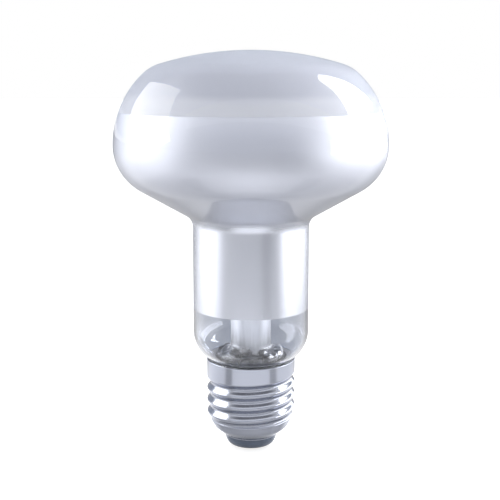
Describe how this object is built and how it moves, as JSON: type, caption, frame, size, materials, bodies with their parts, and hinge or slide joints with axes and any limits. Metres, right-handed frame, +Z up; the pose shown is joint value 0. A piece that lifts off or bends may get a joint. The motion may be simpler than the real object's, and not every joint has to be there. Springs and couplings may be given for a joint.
{
  "type": "reflector bulb",
  "caption": "Screw-cap reflector bulb with a frosted domed front, a mirror-coated bowl and neck, a clear glass tail and a rolled metal cap.",
  "frame": {"origin": "tip of the centre contact, on the axis of the screw cap", "axes": "+Z up the axis from the cap to the crown of the dome, -Y to the side the picture shows"},
  "size_m": [0.08, 0.08, 0.118],
  "materials": {
    "envelope_glass": "clear and glossy outside, frosted inside the dome",
    "mirror_film": "satin aluminium film behind glass",
    "stem_glass": "clear",
    "filament_metal": "dull drawn wire",
    "lead_metal": "drawn wire",
    "support_metal": "drawn wire",
    "cap_metal": "bright rolled sheet",
    "insulator_glass": "dark moulded glass",
    "contact_brass": "pressed sheet",
    "solder": "dull solder",
    "cement": "baked cement"
  },
  "bodies": {
    "root": {"envelope_bowl": "envelope_glass", "envelope_neck": "envelope_glass", "envelope_tail": "envelope_glass", "reflector_coating": "mirror_film", "glass_stem": "stem_glass", "exhaust_tube": "stem_glass", "filament": "filament_metal", "lead_wire_centre": "lead_metal", "lead_wire_side": "lead_metal", "support_wire_left": "support_metal", "support_wire_middle": "support_metal", "support_wire_right": "support_metal", "cap_shell": "cap_metal", "cap_insulator": "insulator_glass", "contact_plate": "contact_brass", "centre_solder": "solder", "side_weld": "solder", "cap_cement": "cement"}
  },
  "joints": []
}
